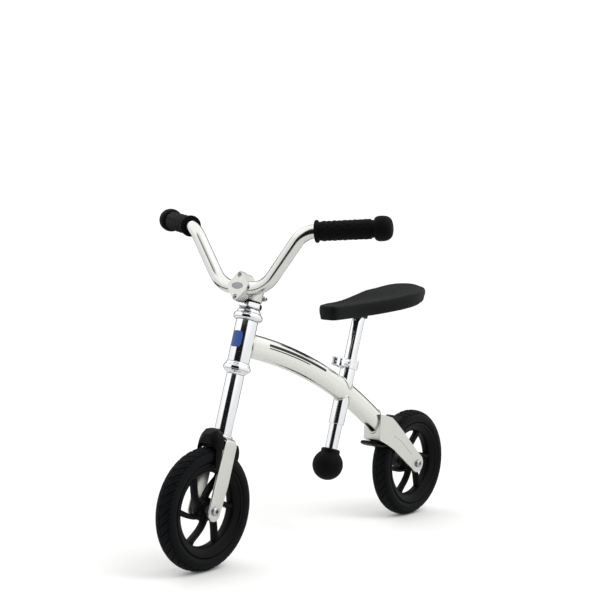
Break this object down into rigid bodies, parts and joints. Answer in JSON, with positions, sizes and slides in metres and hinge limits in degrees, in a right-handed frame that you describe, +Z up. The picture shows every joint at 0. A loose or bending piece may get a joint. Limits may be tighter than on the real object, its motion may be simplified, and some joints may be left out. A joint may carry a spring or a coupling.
{
  "type": "balance bike",
  "caption": "Child's pedal-free balance bike: curved oval frame, steerable fork, swept handlebar, sliding saddle post with a ball foot, small spoked wheels.",
  "frame": {"origin": "on the ground, midway between the two axles, at the bottom centre of the whole bike", "axes": "+X forward to the front wheel, +Y to the rider's left, +Z up"},
  "size_m": [0.7659, 0.4918, 0.5738],
  "materials": {
    "polished_aluminium": "mirror polished aluminium tube",
    "satin_aluminium": "satin brushed",
    "steel": "zinc plated, turned",
    "tyre_rubber": "moulded solid tyre with fine tread",
    "soft_rubber": "matt soft rubber",
    "saddle_foam": "self-skinned polyurethane foam, fine grain",
    "black_plastic": "injection moulded, low sheen"
  },
  "bodies": {
    "frame": {"frame_tube": "satin_aluminium", "head_tube": "polished_aluminium", "upper_headset_cup": "polished_aluminium", "lower_headset_cup": "polished_aluminium", "upper_headset_bearing": "steel", "lower_headset_bearing": "steel", "rear_yoke": "satin_aluminium", "rear_fender": "black_plastic", "rear_fender_screw": "steel", "seat_tube": "polished_aluminium", "seat_collar": "polished_aluminium", "skewer": "steel", "skewer_nut": "polished_aluminium", "rear_axle_bolt": "steel", "rear_axle_nut": "steel", "rear_axle_sleeve": "steel", "rear_axle_spacer_left": "steel", "rear_axle_spacer_right": "steel"},
    "steering": {"steerer_tube": "steel", "fork_tube": "polished_aluminium", "fork_bracket": "satin_aluminium", "front_fender": "black_plastic", "front_fender_screw": "steel", "crown_cone": "polished_aluminium", "top_cone": "polished_aluminium", "lock_washer": "steel", "lock_nut": "polished_aluminium", "spacer_ring": "black_plastic", "stem_clamp": "satin_aluminium", "stem_face_plate": "satin_aluminium", "plate_bolt_upper": "steel", "plate_bolt_lower": "steel", "stem_pinch_bolt_front": "steel", "stem_pinch_bolt_rear": "steel", "front_axle_bolt": "steel", "front_axle_nut": "steel", "front_axle_sleeve": "steel", "front_axle_spacer_left": "steel", "front_axle_spacer_right": "steel"},
    "handlebar_set": {"handlebar": "polished_aluminium", "grip_left": "soft_rubber", "grip_right": "soft_rubber"},
    "front_wheel": {"front_tyre": "tyre_rubber", "front_rim": "black_plastic", "front_wheel_bearing_left": "steel", "front_wheel_bearing_right": "steel"},
    "rear_wheel": {"rear_tyre": "tyre_rubber", "rear_rim": "black_plastic", "rear_wheel_bearing_left": "steel", "rear_wheel_bearing_right": "steel"},
    "seat_set": {"seat_post": "polished_aluminium", "post_screw": "steel", "ball_collar": "black_plastic", "foot_ball": "soft_rubber", "saddle_base": "black_plastic", "saddle_cushion": "saddle_foam", "saddle_screw_front": "steel", "saddle_screw_rear": "steel"},
    "clamp_lever": {"cam_lever": "satin_aluminium", "cam_pin": "steel"}
  },
  "joints": [
    {"name": "steering_turn", "type": "hinge", "parent": "frame", "child": "steering", "pos_m": [0.27793, 0, 0.09845], "axis": [-0.2924, 0, 0.9563], "range_deg": [-90, 90]},
    {"name": "front_wheel_spin", "type": "hinge", "parent": "steering", "child": "front_wheel", "pos_m": [0.283, 0, 0.1], "axis": [0, 1, 0], "continuous": true},
    {"name": "rear_wheel_spin", "type": "hinge", "parent": "frame", "child": "rear_wheel", "pos_m": [-0.283, 0, 0.1], "axis": [0, 1, 0], "continuous": true},
    {"name": "handlebar_tilt", "type": "hinge", "parent": "steering", "child": "handlebar_set", "pos_m": [0.1989, 0, 0.45136], "axis": [0, 1, 0], "range_deg": [-25, 25]},
    {"name": "seat_height", "type": "slide", "parent": "frame", "child": "seat_set", "axis": [-0.299, 0, 0.9542], "range_m": [-0.06, 0.043]},
    {"name": "clamp_lever_swing", "type": "hinge", "parent": "frame", "child": "clamp_lever", "pos_m": [-0.07036, -0.017, 0.30906], "axis": [-0.299, 0, 0.9542], "range_deg": [0, 150]}
  ]
}
